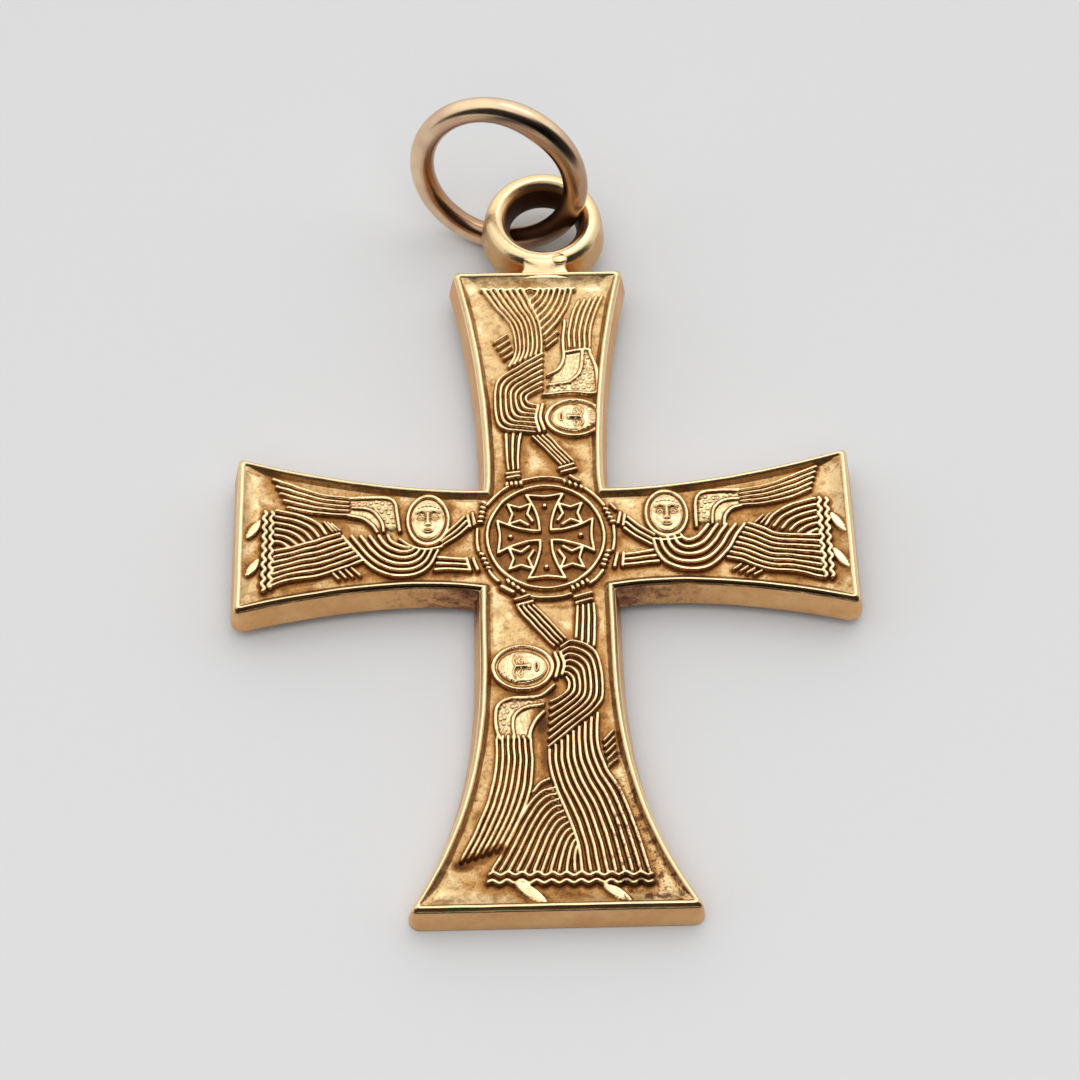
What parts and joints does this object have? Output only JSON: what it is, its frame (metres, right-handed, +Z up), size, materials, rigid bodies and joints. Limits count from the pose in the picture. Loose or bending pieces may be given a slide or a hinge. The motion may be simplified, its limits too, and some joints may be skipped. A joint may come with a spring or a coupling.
{
  "type": "cross pendant with jump ring",
  "caption": "Cast flared cross pendant with a raised rim and relief, a loop on top and a closed jump ring through it.",
  "frame": {"origin": "on the surface it lies on, under the middle of the bounding box of the cross and its jump ring", "axes": "+Y from the foot of the cross to its loop, +X to the right when seen from the front with the loop up, +Z up out of the surface"},
  "size_m": [0.0248, 0.034, 0.0075],
  "materials": {
    "cast_gold": "cast and polished yellow gold with brown patina in its recesses",
    "wire_gold": "polished yellow to rose gold wire"
  },
  "bodies": {
    "root": {"cross": "cast_gold", "jump_ring": "wire_gold"}
  },
  "joints": []
}
